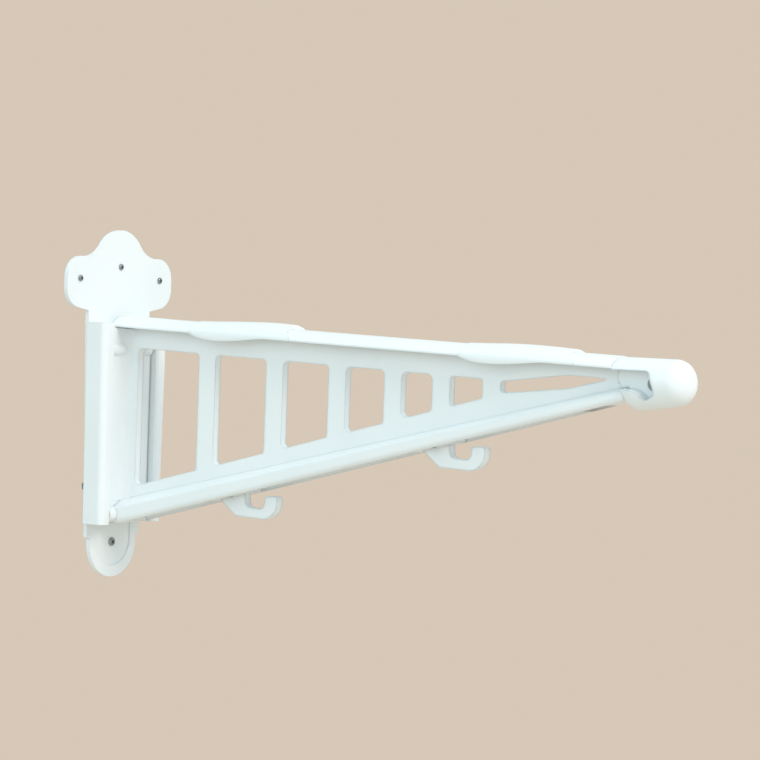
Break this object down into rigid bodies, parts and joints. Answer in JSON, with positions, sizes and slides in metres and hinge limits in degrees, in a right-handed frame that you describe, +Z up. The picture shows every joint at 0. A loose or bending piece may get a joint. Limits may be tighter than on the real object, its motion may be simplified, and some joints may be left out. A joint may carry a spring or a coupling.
{
  "type": "fold-down drying rack",
  "caption": "Wall plate with a U-shaped channel and a tapered openwork arm that hinges at its heel and folds down along the wall, with a crowned top rail, hooks and a domed nose.",
  "frame": {"origin": "the middle of the wall plate's height, on its back face, at the middle of its width", "axes": "the wall is the plane Y = 0, +Y points into the wall, the arm reaches along -Y, +Z is up"},
  "size_m": [0.128, 0.5363, 0.2814],
  "materials": {
    "bracket_plastic": "moulded, satin gloss",
    "arm_plastic": "moulded, satin gloss",
    "bush_plastic": "natural, matt",
    "pin_steel": "ground",
    "screw_steel": "zinc plated"
  },
  "bodies": {
    "bracket": {"wall_plate": "bracket_plastic", "channel": "bracket_plastic", "channel_screws": "screw_steel", "hinge_pin": "pin_steel", "catch_bar": "pin_steel", "bore_plugs": "bracket_plastic"},
    "arm": {"arm_frame": "arm_plastic", "heel_bushes": "bush_plastic", "top_rail": "arm_plastic", "inner_saddle": "arm_plastic", "outer_saddle": "arm_plastic", "inner_hook": "arm_plastic", "outer_hook": "arm_plastic", "hook_screws": "screw_steel", "nose_cap": "arm_plastic", "nose_screw": "screw_steel", "nose_nut": "screw_steel"}
  },
  "joints": [
    {"name": "arm_fold", "type": "hinge", "parent": "bracket", "child": "arm", "pos_m": [0, -0.0157, -0.088], "axis": [1, 0, 0], "range_deg": [0, 95]}
  ]
}
